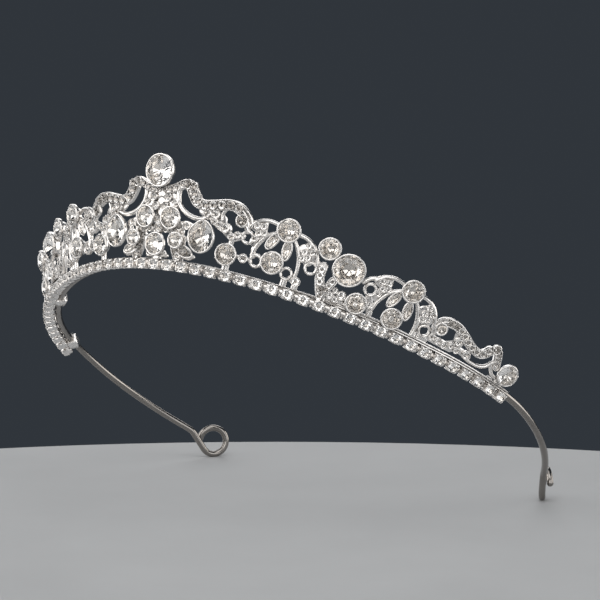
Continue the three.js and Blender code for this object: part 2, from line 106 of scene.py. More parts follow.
FOIL_GAP = 0.03  # silvering behind a stone
FOIL_WALL = 0.07
EYELET_FRONT = 0.75
PAVE_FLOOR = 0.42  # channels of small stones: floor, rim and wall
PAVE_RIM = 0.86
PAVE_WALL = 0.34
BEAD = 0.2  # radius of the beads between small stones


def circle(count):
    """Evenly spaced angles round a circle."""
    return np.linspace(0, 2 * math.pi, count, endpoint=False)


# ---- the band's curve ----
STEP = 0.5
STATIONS = np.arange(0, 171, STEP)


def _track():
    curvature = np.interp(STATIONS, [u for u, _ in BEND], [1 / r for _, r in BEND])
    middle = (curvature[:-1] + curvature[1:]) / 2
    heading = np.concatenate([[0], np.cumsum(middle * STEP)])
    way = (heading[:-1] + heading[1:]) / 2
    x = np.concatenate([[0], np.cumsum(np.cos(way) * STEP)])
    y = np.concatenate([[0], np.cumsum(np.sin(way) * STEP)])
    return curvature, heading, x, y


CURVATURE, HEADING, TRACK_X, TRACK_Y = _track()


def stretch(u, v):
    """How much wider the leaning ornament gets at height v."""
    return 1 + math.sin(LEAN) * v * float(np.interp(abs(u), STATIONS, CURVATURE))


def tilted(points):
    """Band frame to the worn frame, both in millimetres."""
    x, y, z = points[:, 0], points[:, 1] - HEAD_CENTRE, points[:, 2]
    c, s = math.cos(TILT), math.sin(TILT)
    return np.stack([x, y * c + z * s, z * c - y * s], 1)


def bend(flat):
    """Flat (u, v, w) points in millimetres to the worn frame in metres."""
    flat = np.asarray(flat, float).reshape(-1, 3)
    u, v, w = flat.T
    side = np.where(u < 0, -1.0, 1.0)
    heading = side * np.interp(np.abs(u), STATIONS, HEADING)
    x = side * np.interp(np.abs(u), STATIONS, TRACK_X)
    y = np.interp(np.abs(u), STATIONS, TRACK_Y)
    z = END_RISE * (u / (CUPS_PER_SIDE * PITCH)) ** 2
    out = v * math.sin(LEAN) + w * math.cos(LEAN)
    high = z + v * math.cos(LEAN) - w * math.sin(LEAN)
    return tilted(np.stack([x + np.sin(heading) * out, y - np.cos(heading) * out, high], 1)) * MM


def lift(u):
    """How far the cups and rail climb towards the castings, in millimetres."""
    return LIFT * np.clip((np.abs(u) / PITCH - LIFT_START) / (CUPS_PER_SIDE - LIFT_START), 0, None)


def eased(value, start, end):
    """0 up to the start, 1 from the end on, and an eased curve between."""
    share = np.clip((value - start) / (end - start), 0, 1)
    return share**2 * (3 - 2 * share)


def rail_top(u):
    """The base rail is thin in front of the head and grows to its full height at the sides."""
    return RAIL_NARROW + (FOOT_LINE - SOLDER - RAIL_NARROW) * eased(np.abs(u) / PITCH, *RAIL_GROWTH)


def wire_row(u):
    """Height of the wire up the ornament's back: it rises by the last cups and its arms hang down."""
    sunk = np.clip((np.abs(u) - SINK_START) / (ARM_END - SINK_START), 0, None) ** 1.5
    return WIRE_ROW + (ARM_ROW - WIRE_ROW) * eased(np.abs(u), *ARM_RISE) - ARM_SINK * sunk


def axes_at(u):
    """Unit axes of the ornament's surface at u, in the worn frame: along, up and out of the face."""
    a, b, c = bend([(u, 0, 0), (u, 1, 0), (u, 0, 1)])
    up, face = (b - a) / MM, (c - a) / MM
    return np.cross(up, face), up, face


# ---- meshes: each shell is (vertices, faces), closed, in flat millimetres ----
def shell_rings(rings):
    """Rings of equal length skinned into a closed shell, first and last ring capped."""
    count = len(rings[0])
    faces = []
    for i in range(len(rings) - 1):
        a, b = i * count, (i + 1) * count
        for j in range(count):
            k = (j + 1) % count
            faces.append((a + j, a + k, b + k, b + j))
    faces.append(tuple(reversed(range(count))))
    faces.append(tuple(range((len(rings) - 1) * count, len(rings) * count)))
    return np.concatenate(rings), faces


def loop_rings(rings):
    """Rings skinned into a closed loop, with no caps."""
    count, total = len(rings[0]), len(rings)
    faces = []
    for i in range(total):
        a, b = i * count, (i + 1) % total * count
        for j in range(count):
            k = (j + 1) % count
            faces.append((a + j, a + k, b + k, b + j))
    return np.concatenate(rings), faces


def spline(points, spacing=0.3):
    """Catmull-Rom line through [station, row] points, evenly spaced, in flat millimetres."""
    p = np.array(points, float) * (PITCH, ROW)
    if len(p) == 2:
        count = max(2, int(np.linalg.norm(p[1] - p[0]) / spacing) + 1)
        return p[0] + (p[1] - p[0]) * np.linspace(0, 1, count)[:, None]
    ends = np.concatenate([[2 * p[0] - p[1]], p, [2 * p[-1] - p[-2]]])
    t = np.linspace(0, 1, 24, endpoint=False)[:, None]
    line = []
    for a, b, c, d in zip(ends, ends[1:], ends[2:], ends[3:]):
        square = 2 * a - 5 * b + 4 * c - d
        cube = 3 * b - a - 3 * c + d
        line.append(0.5 * (2 * b + (c - a) * t + square * t**2 + cube * t**3))
    line = np.concatenate(line + [p[-1:]])
    along = np.concatenate([[0], np.cumsum(np.linalg.norm(np.diff(line, axis=0), axis=1))])
    even = np.linspace(0, along[-1], max(3, int(along[-1] / spacing) + 1))
    return np.stack([np.interp(even, along, line[:, i]) for i in (0, 1)], 1)


def normals_of(line):
    """Left-hand unit normals of an open flat line."""
    way = np.gradient(line, axis=0)
    way /= np.linalg.norm(way, axis=1)[:, None]
    return np.stack([-way[:, 1], way[:, 0]], 1)


CAP_TURNS = np.radians([20, 40, 58, 74, 86])


def sweep(line, section, capped=True):
    """A closed section of (across, w) points swept along a flat line, rounded past its end points."""
    side = normals_of(line)
    middle = section[:, 1].mean()

    def ring(p, n, size):
        high = middle + (section[:, 1] - middle) * (0.5 + 0.5 * size**0.4)
        return np.column_stack([p + n * (section[:, :1] * size), high])

    rings = [ring(p, n, 1.0) for p, n in zip(line, side)]
    if capped:
        reach = np.abs(section[:, 0]).max()
        for end, way in ((0, -1), (-1, 1)):
            ahead = np.array([side[end][1], -side[end][0]]) * way
            cap = [ring(line[end] + ahead * reach * math.sin(t), side[end], math.cos(t)) for t in CAP_TURNS]
            rings = cap[::-1] + rings if end == 0 else rings + cap
    return shell_rings(rings)


def round_section(width, low, high, sides=14, flat=0.0):
    """Half-round bar: domed front, flatter back."""
    turn = circle(sides)
    across = np.cos(turn) * width / 2
    height = np.sin(turn)
    height = np.where(height > 0, height * (high - flat), height * (flat - low))
    return np.column_stack([across, flat + height])


def channel_section(width, low, floor, rim, wall):
    """Shallow channel with rounded rims that holds a row of small stones."""
    h = width / 2
    right = [
        (h * 0.82, low), (h - 0.02, low + 0.25), (h, rim - 0.25), (h - wall * 0.25, rim - 0.04),
        (h - wall * 0.55, rim), (h - wall * 0.85, rim - 0.06), (h - wall, rim - 0.22),
        (h - wall - 0.02, floor),
    ]
    return np.array(right + [(-a, w) for a, w in reversed(right)])


def groove_section(width, low, high):
    """Two fine bars side by side with a groove between."""
    h = width / 2
    right = [
        (h * 0.8, low), (h, low + 0.3), (h, high - 0.3), (h * 0.86, high - 0.06), (h * 0.62, high),
        (h * 0.36, high - 0.08), (h * 0.16, high - 0.34),
    ]
    return np.array(right + [(-a, w) for a, w in reversed(right)])


def ball(centre, radius, rows=6, sides=10):
    rings = []
    for i in range(rows + 1):
        turn = math.pi * (i / rows - 0.5)
        r = max(radius * math.cos(turn), radius * 0.08)
        a = circle(sides)
        rings.append(
            np.column_stack([
                centre[0] + r * np.cos(a), centre[1] + r * np.sin(a),
                np.full(sides, centre[2] + radius * math.sin(turn)),
            ])
        )
    return shell_rings(rings)


def eyelet(s, h, outer, hole):
    """A small domed ring."""
    u, v = s * PITCH, h * ROW
    wide = stretch(u, v)
    section = round_section(outer - hole, BACK, EYELET_FRONT, 12)
    rings = []
    for a in circle(36):
        r = (outer + hole) / 2 + section[:, 0]
        rings.append(np.column_stack([u + r * math.cos(a) / wide, v + r * math.sin(a), section[:, 1]]))
    return loop_rings(rings)


# ---- outlines of stones, about their own centre ----
def round_outline(radius, sides):
    a = (np.arange(sides) + 0.5) / sides * 2 * math.pi
    return np.column_stack([radius * np.cos(a), radius * np.sin(a)])


def leaf_outline(length, width, sides):
    a = np.arange(sides) / sides * 2 * math.pi
    across = -np.sign(np.sin(a)) * np.abs(np.sin(a)) ** 1.3 * width / 2
    return np.column_stack([across, np.cos(a) * length / 2])


def pear_outline(length, width, sides):
    a = np.arange(sides) / sides * 2 * math.pi
    taper = 1 - 0.42 * np.clip(np.cos(a), 0, 1) ** 2
    return np.column_stack([-np.sin(a) * taper * width / 2, np.cos(a) * length / 2])


def square_outline(half, sides, power):
    a = (np.arange(sides) + 0.5) / sides * 2 * math.pi
    c, s = np.cos(a), np.sin(a)
    r = half / (np.abs(c) ** power + np.abs(s) ** power) ** (1 / power)
    return np.column_stack([r * c, r * s])


def outward(outline):
    way = np.roll(outline, -1, 0) - np.roll(outline, 1, 0)
    way /= np.linalg.norm(way, axis=1)[:, None]
    return np.column_stack([way[:, 1], -way[:, 0]])


def level(outline, w):
    """A flat outline at one height."""
    return np.column_stack([outline, np.full(len(outline), w)])


def bowl(outline, profile):
    """Closed shell: the outline scaled by share and moved out by offset, at each (share, offset, w)."""
    normal = outward(outline)
    return shell_rings([level(outline * share + normal * offset, w) for share, offset, w in profile])


def hull(points):
    """Convex faceted solid of the given points."""
    bm = bmesh.new()
    for p in points:
        bm.verts.new(p)
    bmesh.ops.convex_hull(bm, input=bm.verts)
    loose = [v for v in bm.verts if not v.link_faces]
    bmesh.ops.delete(bm, geom=loose, context="VERTS")
    bmesh.ops.dissolve_limit(bm, angle_limit=0.01, verts=bm.verts, edges=bm.edges)
    bm.verts.index_update()
    verts = np.array([v.co for v in bm.verts])
    faces = [tuple(v.index for v in f.verts) for f in bm.faces]
    bm.free()
    return verts, faces


def room(gem):
    """How much wider a stone is than the CAD one: its cup's wall is thinned by this much."""
    return {"leaf": 0.15, "pear": 0.3, "round": 0.4}[gem[3]]


def brilliant(gem):
    """Brilliant cut: octagonal table, star and kite crown facets, thin girdle, pointed pavilion."""
    half = gem[5] / 2
    outline = gem_outline(gem, 16, room(gem))
    return hull(np.concatenate([
        level(outline[1::2] * TABLE, CROWN * half),
        level(outline[::2] * 0.82, 0.215 * half),
        level(outline, 0.03 * half),
        level(outline, -0.03 * half),
        level(outline[1::2] * 0.52, -0.36 * half),
        level(outline[::4] * 0.07, -PAVILION * half),
    ]))


def foil(gem):
    """Silvered shell behind a stone's pavilion."""
    half = gem[5] / 2
    outline = gem_outline(gem, 32, room(gem))
    point, slope, edge = -PAVILION * half - FOIL_GAP, -0.37 * half - FOIL_GAP, -0.05 * half
    return shell_rings([
        level(outline * 0.08, point),
        level(outline * 0.54, slope),
        level(outline, edge),
        level(outline + outward(outline) * FOIL_WALL, edge),
        level(outline * 0.58, slope - FOIL_WALL),
        level(outline * 0.14, point - FOIL_WALL),
    ])


# ---- putting shells together ----
def merged(shells):
    verts, faces, start = [], [], 0
    for v, f in shells:
        verts.append(v)
        faces += [tuple(i + start for i in face) for face in f]
        start += len(v)
    return np.concatenate(verts), faces


def new_object(name, verts, faces, material, smooth=True, angle=40, tolerance=1e-7):
    mesh = bpy.data.meshes.new(name)
    mesh.from_pydata(np.asarray(verts).tolist(), [], faces)
    bm = bmesh.new()
    bm.from_mesh(mesh)
    bmesh.ops.remove_doubles(bm, verts=bm.verts, dist=tolerance)
    bmesh.ops.recalc_face_normals(bm, faces=bm.faces)
    bm.to_mesh(mesh)
    bm.free()
    if smooth:
        mesh.shade_smooth()
        mesh.set_sharp_from_angle(angle=math.radians(angle))
    else:
        mesh.shade_flat()
    obj = bpy.data.objects.new(name, mesh)
    bpy.context.scene.collection.objects.link(obj)
    if material:
        mesh.materials.append(material)
    return obj


def joined(shells):
    """The shells joined into one closed surface, with nothing left inside it."""
    parts = bpy.data.collections.new("parts")
    bpy.context.scene.collection.children.link(parts)
    objs = [new_object("part", verts, faces, None, tolerance=1e-4) for verts, faces in shells]
    for obj in objs[1:]:
        bpy.context.scene.collection.objects.unlink(obj)
        parts.objects.link(obj)
    join = objs[0].modifiers.new("join", "BOOLEAN")
    join.operation, join.operand_type, join.solver = "UNION", "COLLECTION", "MANIFOLD"
    join.collection = parts
    mesh = objs[0].evaluated_get(bpy.context.evaluated_depsgraph_get()).to_mesh()
    verts = np.array([v.co for v in mesh.vertices])
    faces = [tuple(p.vertices) for p in mesh.polygons]
    for obj in objs:
        data = obj.data
        bpy.data.objects.remove(obj)
        bpy.data.meshes.remove(data)
    bpy.data.collections.remove(parts)
    return verts, faces


def lifted(shell):
    """A shell of the strip or rail, raised by its climb."""
    verts, faces = shell
    return verts + np.column_stack([np.zeros(len(verts)), lift(verts[:, 0]), np.zeros(len(verts))]), faces


def add_piece(name, shell, material, replaced=None, both_sides=False, smooth=True):
    """Bends a flat shell on to the band as one piece, or as a left and a right one."""
    verts, faces = shell
    for side, label in ((1, "_left"), (-1, "_right")) if both_sides else ((1, ""),):
        obj = new_object(name + label, bend(verts * (side, 1, 1)), faces, material, smooth)
        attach(obj, "root")
        if replaced:
            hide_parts(replaced + label)


# ---- materials ----
def node_material(name):
    material = bpy.data.materials.new(name)
    material.use_nodes = True
    tree = material.node_tree
    return material, tree, tree.nodes["Principled BSDF"]


def link(tree, source, output, target, socket):
    tree.links.new(source.outputs[output], target.inputs[socket])


def noise(tree, scale, detail):
    node = tree.nodes.new("ShaderNodeTexNoise")
    node.inputs["Scale"].default_value = scale
    node.inputs["Detail"].default_value = detail
    link(tree, tree.nodes.new("ShaderNodeTexCoord"), "Object", node, "Vector")
    return node


def mapped(tree, source, output, low, high):
    """The middle part of a noise, spread over low to high."""
    node = tree.nodes.new("ShaderNodeMapRange")
    node.inputs["From Min"].default_value = 0.3
    node.inputs["From Max"].default_value = 0.7
    node.inputs["To Min"].default_value = low
    node.inputs["To Max"].default_value = high
    link(tree, source, output, node, "Value")
    return node


def add_tint(tree, shader, source, output, low, high, span=(0.0, 1.0)):
    """Base colour that runs from low to high with a value."""
    ramp = tree.nodes.new("ShaderNodeValToRGB")
    for element, position, colour in zip(ramp.color_ramp.elements, span, (low, high)):
        element.position = position
        element.color = (*colour, 1)
    link(tree, source, output, ramp, "Fac")
    link(tree, ramp, "Color", shader, "Base Color")


def add_bump(tree, shader, source, output, strength, distance):
    node = tree.nodes.new("ShaderNodeBump")
    node.inputs["Strength"].default_value = strength
    node.inputs["Distance"].default_value = distance
    link(tree, source, output, node, "Height")
    link(tree, node, "Normal", shader, "Normal")


def plated_material():
    """Bright rhodium-coloured plating over a casting: soft polish, with painted shade that darkens its colour
    in narrow hollows and gaps.
    """
    material, tree, shader = node_material("plated_metal")
    shader.inputs["Metallic"].default_value = 1.0
    rough = mapped(tree, noise(tree, 420, 4), "Fac", 0.2, 0.32)
    link(tree, rough, "Result", shader, "Roughness")
    # painted shade: ambient occlusion darkens the base colour where parts crowd together, standing in for the
    # shade that falls there
    crevice_painted_shade = tree.nodes.new("ShaderNodeAmbientOcclusion")
    crevice_painted_shade.inputs["Distance"].default_value = 0.0012
    crevice_painted_shade.samples = 8
    add_tint(tree, shader, crevice_painted_shade, "AO", (0.38, 0.36, 0.34), (0.93, 0.905, 0.88), (0.2, 0.7))
    add_bump(tree, shader, noise(tree, 2600, 3), "Fac", 0.25, 0.00004)
    return material


def wire_material():
    """Drawn spring wire, plated, slightly darker and softer than the castings."""
    material, tree, shader = node_material("band_wire")
    shader.inputs["Metallic"].default_value = 1.0
    add_tint(tree, shader, noise(tree, 160, 4), "Fac", (0.27, 0.252, 0.236), (0.34, 0.32, 0.30))
    rough = mapped(tree, noise(tree, 300, 3), "Fac", 0.16, 0.24)
    link(tree, rough, "Result", shader, "Roughness")
    return material


def crystal_material():
    """Clear cut glass."""
    material, tree, shader = node_material("crystal_glass")
    shader.inputs["Transmission Weight"].default_value = 1.0
    shader.inputs["IOR"].default_value = 1.56
    shader.inputs["Base Color"].default_value = (0.99, 0.975, 0.955, 1)
    rough = mapped(tree, noise(tree, 700, 2), "Fac", 0.0, 0.03)
    link(tree, rough, "Result", shader, "Roughness")
    return material


def foil_material():
    """Vacuum silvering behind the stones."""
    material, tree, shader = node_material("silver_foil")
    shader.inputs["Metallic"].default_value = 1.0
    add_tint(tree, shader, noise(tree, 900, 2), "Fac", (0.74, 0.72, 0.70), (0.90, 0.885, 0.865))
    shader.inputs["Roughness"].default_value = 0.08
    return material


PLATED = plated_material()
WIRE = wire_material()
CRYSTAL = crystal_material()
FOIL = foil_material()


# ---- stones: the CAD part's stones, as (name, station, row, cut, length, width, turn in degrees) ----
CENTRE_GEMS = [
    ("top_stone", 0, 5.1, "round", 6.9, 6.9, 0),
    ("lower_centre_stone", 0, 1.1, "round", 4.4, 4.4, 0),
]
CREST_GEMS = [
    ("crest_round_stone", 0.88, 2.58, "round", 4.3, 4.3, 0),
    ("leg_stone", 1.52, 1.4, "round", 2.7, 2.7, 0),
    ("foot_stone", 1.94, 0.86, "leaf", 5.0, 2.0, 72),
]
ARM_GEMS = [
    ("pear_stone", 3.1, 1.82, "pear", 7.1, 5.9, 0),
    ("low_round_stone", 4.75, 1.14, "round", 4.1, 4.1, 0),
    ("curl_stone", 5.22, 3.1, "round", 1.9, 1.9, 0),
]
INNER_FAN_GEMS = [
    ("inner_fan_top_stone", 7.95, 3.28, "round", 4.5, 4.5, 0),
    ("inner_fan_left_leaf_stone", 7.22, 2.5, "leaf", 4.4, 1.6, -28),
    ("inner_fan_right_leaf_stone", 8.15, 2.22, "leaf", 4.4, 1.6, 3),
    ("inner_fan_low_stone", 7.55, 1.36, "round", 4.2, 4.2, 0),
]
MIDDLE_GEMS = [
    ("middle_small_stone", 10.42, 3.07, "round", 4.1, 4.1, 0),
    ("middle_big_stone", 11.85, 2.36, "round", 6.6, 6.6, 0),
    ("middle_low_stone", 12.95, 0.84, "round", 3.8, 3.8, 0),
]
OUTER_FAN_GEMS = [
    ("outer_fan_top_stone", 15.65, 2.66, "round", 4.3, 4.3, 0),
    ("outer_fan_left_leaf_stone", 14.88, 1.86, "leaf", 4.2, 1.6, -20),
    ("outer_fan_right_leaf_stone", 15.88, 1.58, "leaf", 4.2, 1.6, 8),
    ("outer_fan_low_stone", 15.22, 0.84, "round", 3.9, 3.9, 0),
]
END_GEMS = [
    ("end_curl_stone", 18.15, 1.52, "round", 1.9, 1.9, 0),
    ("end_stone", 23.35, 1.28, "round", 4.3, 4.3, 0),
]


ALL_GEMS = CENTRE_GEMS + CREST_GEMS + ARM_GEMS + INNER_FAN_GEMS + MIDDLE_GEMS + OUTER_FAN_GEMS + END_GEMS


def gem_outline(gem, count, by=0.0):
    """A stone's outline about its own centre, with the given number of points, grown by a margin."""
    _, _, _, cut, length, width, _ = gem
    if cut == "pear":
        outline = pear_outline(length, width, count)
    elif cut == "leaf":
        outline = leaf_outline(length, width, count)
    else:
        outline = round_outline(width / 2, count)
    return outline + outward(outline) * by if by else outline


def raised(gem):
    """How far a stone is lifted out of the face on a taller cup."""
    return LEG_RAISE if gem[0] == "leg_stone" else 0.0


def girdle_height(gem):
    return PAVILION * gem[5] / 2 + SEAT_GAP + FLOOR_WALL + BACK + raised(gem)


def turned(flat, angle):
    c, s = math.cos(math.radians(angle)), math.sin(math.radians(angle))
    return flat @ np.array([[c, s], [-s, c]])


def on_drawing(shell, gem):
    """A shell drawn about a stone's centre and girdle, put on the flat drawing."""
    _, s, h, _, _, _, angle = gem
    u, v = s * PITCH, h * ROW
    flat = turned(shell[0][:, :2], angle) * (1 / stretch(u, v), 1) + (u, v)
    return np.column_stack([flat, shell[0][:, 2] + girdle_height(gem)]), shell[1]


def on_head(shell, gem, side):
    """A shell drawn about a stone's centre and girdle, put straight in the worn frame to stay flat."""
    _, s, h, _, _, _, angle = gem
    centre = bend([(s * PITCH * side, h * ROW, 0)])[0]
    along, up, face = axes_at(s * PITCH * side)
    flat = turned(shell[0][:, :2], angle) * (side, 1)
    high = shell[0][:, 2:] + girdle_height(gem)
    return centre + (flat[:, :1] * along + flat[:, 1:] * up + high * face) * MM, shell[1]


def stone_cup(gem):
    """Bezel: flat back, tapered sides, a doubled rim and a lip over the girdle."""
    half = gem[5] / 2
    floor = -PAVILION * half - 0.12
    back = -PAVILION * half - SEAT_GAP - FLOOR_WALL - raised(gem)
    rim = room(gem)
    profile = [
        (0.25, 0, back), (0.72, 0, back), (0.84, 0.1, back + 0.14), (0.97, 0.24, -0.42 * half),
        (1, rim + 0.1, -0.3 * half), (1, rim + 0.26, -0.22 * half - 0.1), (1, rim + 0.34, -0.16),
        (1, rim + 0.34, -0.06),
        (1, rim + 0.26, -0.02), (1, rim + 0.23, 0.03), (1, rim + 0.26, 0.1), (1, rim + 0.24, 0.17),
        (1, rim + 0.15, 0.22), (1, rim + 0.02, 0.2), (1, rim - 0.07, 0.13), (1, rim - 0.04, 0.08),
        (1, rim + 0.04, 0.02), (1, rim + 0.04, -0.06), (0.99, rim * 0.6, -0.2 * half),
        (0.68, 0, floor + 0.15), (0.2, 0, floor),
    ]
    return on_drawing(bowl(gem_outline(gem, 48), profile), gem)


CLAWED = ("low_round", "inner_fan", "middle_small", "middle_low", "outer_fan", "end_stone", "leg", "curl")


def bezel_claws(gem):
    """Small prongs folded over the edge of a round stone."""
    if gem[3] != "round" or not gem[0].startswith(CLAWED):
        return []
    reach = gem[5] / 2 + room(gem) + 0.1
    count = 4 if gem[5] < 3 else 6
    return [
        on_drawing(ball((x, y, 0.16), CLAW), gem) for x, y in round_outline(reach, count)
    ]


def cups_of(gems):
    return [shell for gem in gems for shell in [stone_cup(gem), *bezel_claws(gem)]]


def build_stones():
    """A glass piece for each CAD stone, with its silvered back as a piece of its own."""
    for gem in ALL_GEMS:
        sides = ((1, ""),) if gem in CENTRE_GEMS else ((1, "_left"), (-1, "_right"))
        glass, silver = brilliant(gem), foil(gem)
        for side, label in sides:
            verts, faces = on_head(glass, gem, side)
            obj = new_object("glass_" + gem[0] + label, verts, faces, CRYSTAL, smooth=False)
            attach(obj, "root")
            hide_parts(gem[0] + label)
            verts, faces = on_head(silver, gem, side)
            obj = new_object("foil_" + gem[0] + label, verts, faces, FOIL, smooth=False)
            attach(obj, "root")


# ---- small stones ----
def chaton(radius):
    """A small machine-cut stone."""
    outline = round_outline(radius, 16)
    return hull(np.concatenate([
        level(outline[1::2] * 0.48, 0.42 * radius),
        level(outline[::2] * 0.8, 0.26 * radius),
        level(outline, 0.04 * radius),
        level(outline, -0.04 * radius),
        level(outline[::8] * 0.1, -0.75 * radius),
    ]))


def chaton_foil(radius):
    """The silvering behind a small stone."""
    outline = round_outline(radius, 12)
    rows = ((0.12, -0.8), (1.04, -0.12), (1.12, -0.16), (0.16, -0.9))
    return shell_rings([level(outline * share, radius * w) for share, w in rows])


small_stones, small_foils = [], []


def set_stone(u, v, w, radius):
    """Stores a small stone and its foil for the casting being built; add_small makes them pieces."""
    wide = stretch(u, v)
    for store, shell in ((small_stones, chaton(radius)), (small_foils, chaton_foil(radius))):
        verts = shell[0] * (1 / wide, 1, 1) + (u, v, w)
        store.append((verts, shell[1]))


def bead(u, v, w, radius=BEAD):
    return ball((u, v, w), radius, 5, 8)


def plain(points, width, high=0.62):
    return [sweep(spline(points), round_section(width, BACK, high))]


def grooved(points, width, high=0.72):
    return [sweep(spline(points), groove_section(width, BACK, high))]


def pave(points, width, ends=(0.5, 0.5)):
    """Channel of small stones with a bead on each rim between neighbours."""
    line = spline(points, 0.2)
    shells = [sweep(line, channel_section(width, BACK, PAVE_FLOOR, PAVE_RIM, PAVE_WALL))]
    radius = (width - 0.72) / 2
    top = PAVE_FLOOR + 0.5 * radius
    along = np.concatenate([[0], np.cumsum(np.linalg.norm(np.diff(line, axis=0), axis=1))])
    first, last = ends[0] * 2 * radius, along[-1] - ends[1] * 2 * radius
    count = max(1, int(round((last - first) / (2 * radius + 0.14))) + 1)
    stops = np.linspace(first, last, count) if count > 1 else [along[-1] / 2]
    side = normals_of(line)

    def at(values, distance):
        return np.array([np.interp(distance, along, values[:, i]) for i in (0, 1)])

    for stop in stops:
        u, v = at(line, stop)
        set_stone(u, v, top, radius)
    for a, b in zip(stops, stops[1:]):
        middle = (a + b) / 2
        for sign in (-1, 1):
            u, v = at(line, middle) + at(side, middle) * sign * (width / 2 - 0.36)
            shells.append(bead(u, v, top))
    return shells


def seat(s, h, radius, claws):
    """A small round cup with its own stone and little claws."""
    u, v = s * PITCH, h * ROW
    wide = stretch(u, v)
    outline = round_outline(radius, 28)
    top = PAVE_FLOOR + 0.5 * radius
    verts, faces = bowl(outline, [
        (0.3, 0, BACK), (0.85, 0, BACK), (1, 0.1, BACK + 0.2), (1, 0.3, top - 0.3), (1, 0.3, top - 0.06),
        (1, 0.2, top + 0.04), (1, 0.04, top), (1, 0.04, top - 0.3), (0.3, 0, top - radius),
    ])
    shells = [(verts * (1 / wide, 1, 1) + (u, v, 0), faces)]
    for x, y in round_outline(radius + 0.03, claws):
        shells.append(bead(u + x / wide, v + y, top + 0.06, 0.21))
    set_stone(u, v, top, radius)
    return shells


# ---- castings ----
def plate(points, width, high=0.3):
    """A plain low web that stones are set on."""
    return [sweep(spline(points), round_section(width, BACK, high, 12, high - 0.12))]


def seats(places, radius, claws):
    return [shell for s, h in places for shell in seat(s, h, radius, claws)]


def crest_side():
    return [
        *plate([(0.1, 4.12), (0.6, 4.12), (1.1, 4.3), (1.5, 4.52), (1.8, 4.5)], 2.2),
        *pave([(0.42, 4.08), (0.75, 4.16), (1.1, 4.3), (1.42, 4.48)], 2.1, ends=(0.4, 0.4)),
        *seat(1.68, 4.5, 1.0, 5),
        *plate([(0.12, 3.95), (0.5, 3.8), (0.82, 3.5), (0.86, 3.1)], 2.8),
        *seat(0.5, 3.68, 0.86, 4),
        *seat(0.32, 3.18, 0.78, 4),
        *seat(0.94, 3.46, 0.56, 3),
        *seat(0.2, 4.1, 0.5, 3),
        *plain(
            [(1.12, 4.22), (1.1, 3.75), (1.24, 3.36), (1.6, 3.0), (2.1, 2.78), (2.7, 2.72), (3.1, 2.86)],
            1.15, 0.7,
        ),
        *plate([(0.98, 2.2), (1.3, 2.0), (1.5, 1.9)], 2.4),
        *seat(1.5, 2.18, 0.82, 4),
        *seat(1.1, 2.02, 0.5, 3),
        *plate([(1.4, 2.15), (1.8, 2.3), (2.25, 2.22)], 1.9),
        *seat(1.95, 2.24, 0.66, 4),
        *pave([(1.3, 2.0), (1.2, 1.5), (1.3, 1.0), (1.55, 0.46)], 2.1, ends=(0.3, 0.3)),
        *plain([(2.2, 2.1), (2.15, 1.75), (1.95, 1.5)], 0.9),
        *seat(1.0, 1.62, 0.5, 3),
        *plate([(1.7, 1.5), (1.7, 0.3)], 2.2),
        *plain([(1.9, 0.6), (2.3, 0.5), (2.6, 0.62)], 0.9),
    ]


def crest_middle():
    return [
        *plate([(0, 4.5), (0, 3.0)], 3.2, 0.2),
        *seat(0, 4.42, 0.42, 3),
        *plate([(0, 2.75), (0, 1.6)], 2.0),
        *seat(0, 2.42, 0.95, 4),
        *seat(0, 1.96, 0.95, 5),
        *seats([(-0.58, 1.94), (0.58, 1.94)], 0.6, 4),
        *plate([(-0.75, 1.98), (0.75, 1.98)], 1.8),
        *plain([(-0.8, 2.6), (0.8, 2.6)], 1.0),
        *plain([(0, 0.95), (0, 0.3)], 3.0, 0.4),
        *seats([(-0.55, 0.62), (0.55, 0.62)], 0.5, 3),
        *plain([(-0.7, 0.5), (0.7, 0.5)], 1.0, 0.4),
    ]


def scroll_arm():
    return [
        *seat(2.04, 4.4, 0.9, 5),
        *plate([(1.95, 4.3), (2.2, 3.95), (2.5, 3.6), (2.95, 3.46), (3.5, 3.42)], 2.6),
        *pave(
            [(1.98, 4.22), (2.16, 3.9), (2.42, 3.6), (2.85, 3.5), (3.5, 3.6), (4.2, 3.76), (4.7, 3.76),
             (5.1, 3.58)],
            2.7,
        ),
        *grooved([(4.3, 3.86), (4.8, 3.88), (5.25, 3.64), (5.58, 3.3), (5.74, 2.96)], 1.5),
        *plain([(4.7, 3.5), (5.1, 3.4), (5.4, 3.2)], 0.9, 0.6),
        *plate([(2.9, 3.2), (3.3, 3.1), (3.75, 3.0), (4.0, 2.9)], 2.8),
        *seat(3.12, 3.14, 0.78, 4),
        *seat(3.62, 3.12, 0.86, 4),
        *plate([(3.4, 3.1), (3.7, 2.8), (4.1, 2.6), (4.4, 2.5)], 2.6),
        *seats([(3.62, 2.74), (3.95, 2.62)], 0.66, 4),
        *seat(4.32, 2.5, 0.92, 5),
        *plain([(4.02, 2.9), (4.0, 3.2), (4.16, 3.5), (4.5, 3.66)], 0.8, 0.6),
        *plate([(4.3, 2.4), (4.7, 2.16), (5.0, 2.12), (5.4, 2.3)], 1.7),
        *seat(4.8, 2.12, 0.62, 4),
        *seat(5.14, 2.28, 0.66, 4),
        eyelet(5.74, 2.3, 1.8, 1.0),
        *plain([(5.35, 3.0), (5.55, 2.8), (5.66, 2.62)], 1.3),
        *plain([(4.86, 2.05), (4.82, 1.62)], 1.3, 0.5),
        *plain([(4.8, 0.3), (4.8, 0.9)], 1.9, 0.5),
        *plain([(5.2, 1.16), (6.15, 1.16)], 0.9, 0.5),
        *seat(5.8, 1.16, 0.86, 4),
    ]


